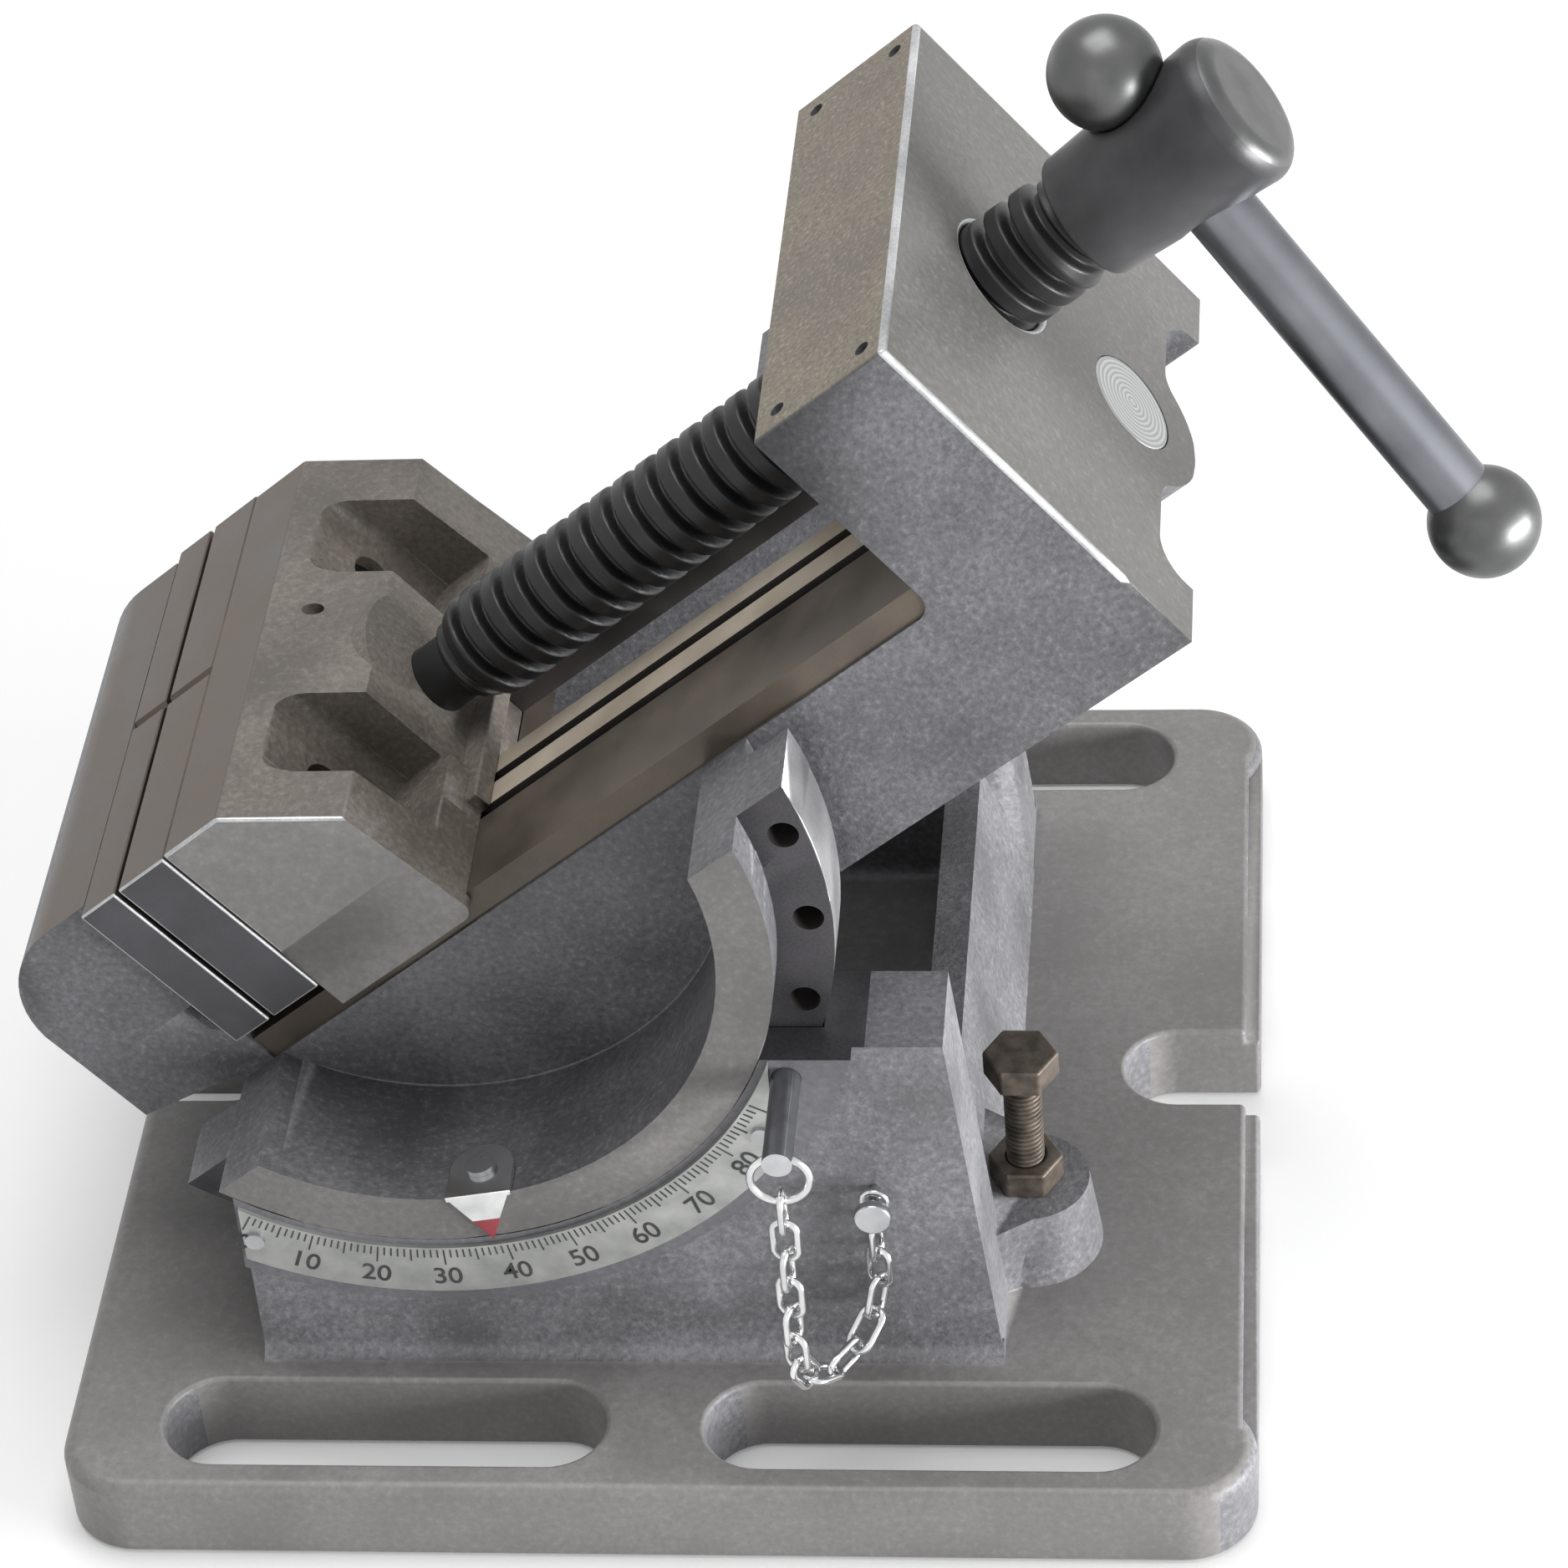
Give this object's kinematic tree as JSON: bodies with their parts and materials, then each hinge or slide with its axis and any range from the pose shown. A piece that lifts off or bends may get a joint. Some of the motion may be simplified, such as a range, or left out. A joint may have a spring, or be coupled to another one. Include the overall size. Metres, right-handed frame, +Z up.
{
  "type": "tilting bench vise",
  "caption": "Screw vise that swings on trunnion rings in a slotted cradle base, with a tilt scale, index pin on a chain, adjustable stop and tommy bar.",
  "frame": {"origin": "centre of the base plate's underside", "axes": "+Z up, +X along the base toward the handle end, +Y to the side away from the scale"},
  "size_m": [0.247, 0.203, 0.2239],
  "materials": {
    "painted_iron": "grey semi-gloss paint over a cast surface",
    "ground_steel": "ground",
    "black_steel": "black oxide",
    "satin_steel": "satin turned",
    "chrome": "bright plated",
    "etched_aluminium": "etched"
  },
  "bodies": {
    "base": {"base_casting": "painted_iron", "scale_plate": "etched_aluminium", "scale_rivets": "satin_steel", "chain_anchor_screw": "satin_steel", "stop_nut": "black_steel", "safety_chain": "chrome"},
    "vise": {"vise_body": "painted_iron", "end_plug": "satin_steel", "angle_pointer": "chrome", "pointer_rivet": "satin_steel", "fixed_jaw_plate": "ground_steel", "fixed_jaw_screws": "black_steel"},
    "sliding_jaw": {"moving_jaw": "painted_iron", "moving_jaw_plate": "ground_steel", "moving_jaw_screws": "black_steel", "jaw_keeper_plate": "ground_steel", "keeper_screws": "black_steel", "nose_pin": "satin_steel"},
    "screw": {"lead_screw": "black_steel"},
    "handle": {"handle_bar": "satin_steel", "handle_ball_upper": "satin_steel", "handle_ball_lower": "satin_steel"},
    "pin": {"index_pin": "satin_steel", "pin_ring": "chrome"},
    "stop": {"stop_bolt": "black_steel"}
  },
  "joints": [
    {"name": "tilt", "type": "hinge", "parent": "base", "child": "vise", "pos_m": [-0.0353, 0, 0.1038], "axis": [0, -1, 0], "range_deg": [-39, 51]},
    {"name": "jaw_slide", "type": "slide", "parent": "vise", "child": "sliding_jaw", "axis": [0.7771, 0, 0.6293], "range_m": [-0.0009, 0.088]},
    {"name": "screw_turn", "type": "hinge", "parent": "sliding_jaw", "child": "screw", "pos_m": [-0.0353, 0, 0.1038], "axis": [0.7771, 0, 0.6293], "range_deg": [-65, 6340]},
    {"name": "handle_slide", "type": "slide", "parent": "screw", "child": "handle", "axis": [-0.6165, 0.2011, 0.7613], "range_m": [0, 0.0602]},
    {"name": "pin_pull", "type": "slide", "parent": "base", "child": "pin", "axis": [0, -1, 0], "range_m": [0, 0.02], "deforming": ["safety_chain"]},
    {"name": "stop_height", "type": "slide", "parent": "base", "child": "stop", "axis": [0, 0, 1], "range_m": [-0.012, 0]}
  ],
  "couplings": [
    {"joint": "screw_turn", "follows": "jaw_slide", "rad_per_m": 1256.6}
  ]
}
